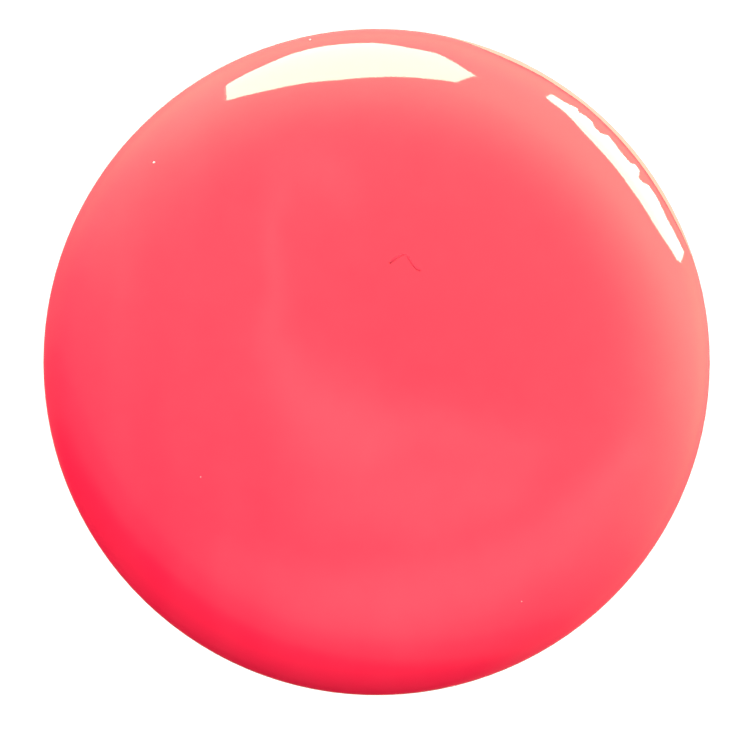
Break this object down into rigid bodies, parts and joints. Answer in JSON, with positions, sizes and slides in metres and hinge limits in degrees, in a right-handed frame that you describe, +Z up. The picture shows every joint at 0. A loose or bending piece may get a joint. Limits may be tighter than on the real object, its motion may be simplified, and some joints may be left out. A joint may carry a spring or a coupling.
{
  "type": "nail polish bottle",
  "caption": "Round glass nail polish bottle with screw-on brush cap, pull-off overcap and a domed drop of coral lacquer on its flat top.",
  "frame": {"origin": "centre of the circle that the glass foot ring stands on", "axes": "+Z up the axis of bottle and closure; X and Y are alike, except that the brush is widest along X and the two mixing balls lie on X"},
  "size_m": [0.028, 0.028, 0.0791],
  "materials": {
    "glass": "clear, flame-polished soda-lime glass",
    "lacquer_coral": "wet coral cream lacquer, high gloss",
    "drop_lacquer": "coral cream lacquer drop, high gloss",
    "ball_steel": "polished stainless steel",
    "staple_steel": "drawn stainless steel",
    "weight_steel": "turned, zinc plated",
    "label_paper": "plain matte paper, no print",
    "gasket_foam": "white closed-cell polyethylene foam",
    "stem_plastic": "natural polypropylene",
    "bristle_nylon": "black nylon filaments, wet with lacquer",
    "insert_plastic": "natural polypropylene",
    "handle_plastic": "black moulded ABS, satin gloss with grip grooves",
    "overcap_plastic": "pale peach moulded ABS, gloss",
    "sleeve_plastic": "natural polypropylene",
    "disc_plastic": "pale peach moulded ABS, gloss"
  },
  "bodies": {
    "bottle": {"glass_bottle": "glass", "lacquer": "lacquer_coral", "base_label": "label_paper"},
    "ball_left": {"mixing_ball_left": "ball_steel"},
    "ball_right": {"mixing_ball_right": "ball_steel"},
    "seal": {"gasket": "gasket_foam"},
    "weight": {"cap_weight": "weight_steel"},
    "brush_cap": {"brush_stem": "stem_plastic", "bristle_anchor": "staple_steel", "bristles": "bristle_nylon", "thread_insert": "insert_plastic", "handle_shell": "handle_plastic"},
    "overcap": {"overcap_shell": "overcap_plastic", "overcap_sleeve": "sleeve_plastic", "top_disc": "disc_plastic", "lacquer_drop": "drop_lacquer"}
  },
  "joints": [
    {"name": "brush_lift", "type": "slide", "parent": "bottle", "child": "seal", "axis": [0, 0, 1], "range_m": [0, 0.05]},
    {"name": "thread_rise", "type": "slide", "parent": "seal", "child": "weight", "axis": [0, 0, 1], "range_m": [0, 0.0043]},
    {"name": "cap_turn", "type": "hinge", "parent": "weight", "child": "brush_cap", "pos_m": [0, 0, 0.05], "axis": [0, 0, 1], "range_deg": [0, 720]},
    {"name": "overcap_pull", "type": "slide", "parent": "brush_cap", "child": "overcap", "axis": [0, 0, 1], "range_m": [0, 0.034]},
    {"name": "ball_left_rise", "type": "slide", "parent": "bottle", "child": "ball_left", "axis": [0, 0, 1], "range_m": [0, 0.024]},
    {"name": "ball_right_rise", "type": "slide", "parent": "bottle", "child": "ball_right", "axis": [0, 0, 1], "range_m": [0, 0.024]}
  ],
  "couplings": [
    {"joint": "thread_rise", "follows": "cap_turn", "m_per_rad": 0.00033693}
  ]
}
